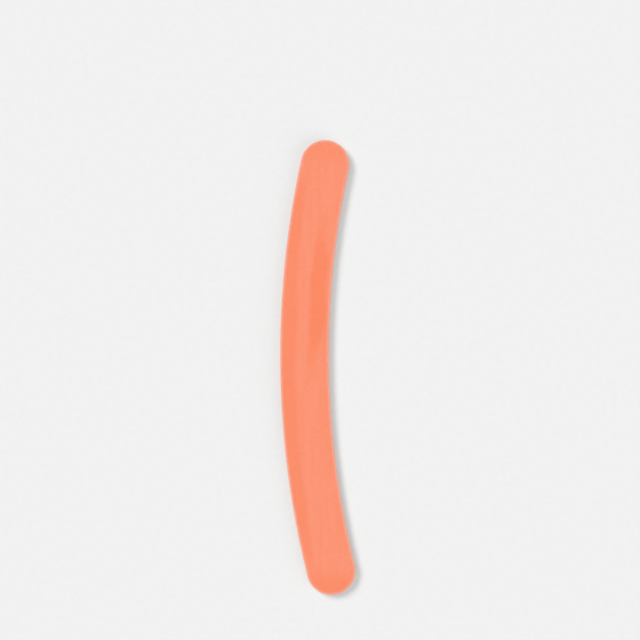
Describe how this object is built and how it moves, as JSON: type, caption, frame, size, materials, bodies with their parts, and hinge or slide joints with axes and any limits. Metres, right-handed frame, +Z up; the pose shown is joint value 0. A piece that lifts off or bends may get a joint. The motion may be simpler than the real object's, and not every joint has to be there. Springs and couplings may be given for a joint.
{
  "type": "emery board",
  "caption": "Curved cushioned emery board: full-round ends, a grit face on both sides and a foam body laminated round a stiff core.",
  "frame": {"origin": "middle of the footprint, on the back face that the board lies on", "axes": "+Y along the board, +Z up through its layers from the back face to the front face, -X towards the bulging long edge"},
  "size_m": [0.0282, 0.178, 0.004],
  "materials": {
    "front_grit": "fine coral mineral grit bonded in resin",
    "back_grit": "coarser coral mineral grit bonded in resin",
    "backing_paper": "uncoated latex-filled backing paper, pale coral at its cut edge",
    "adhesive": "thin translucent laminating adhesive",
    "foam": "white closed-cell foam, die cut",
    "core": "white polystyrene sheet, die cut"
  },
  "bodies": {
    "root": {"core_strip": "core", "front_core_tape": "adhesive", "front_foam": "foam", "front_face_tape": "adhesive", "front_paper": "backing_paper", "front_grit_coat": "front_grit", "back_core_tape": "adhesive", "back_foam": "foam", "back_face_tape": "adhesive", "back_paper": "backing_paper", "back_grit_coat": "back_grit"}
  },
  "joints": []
}
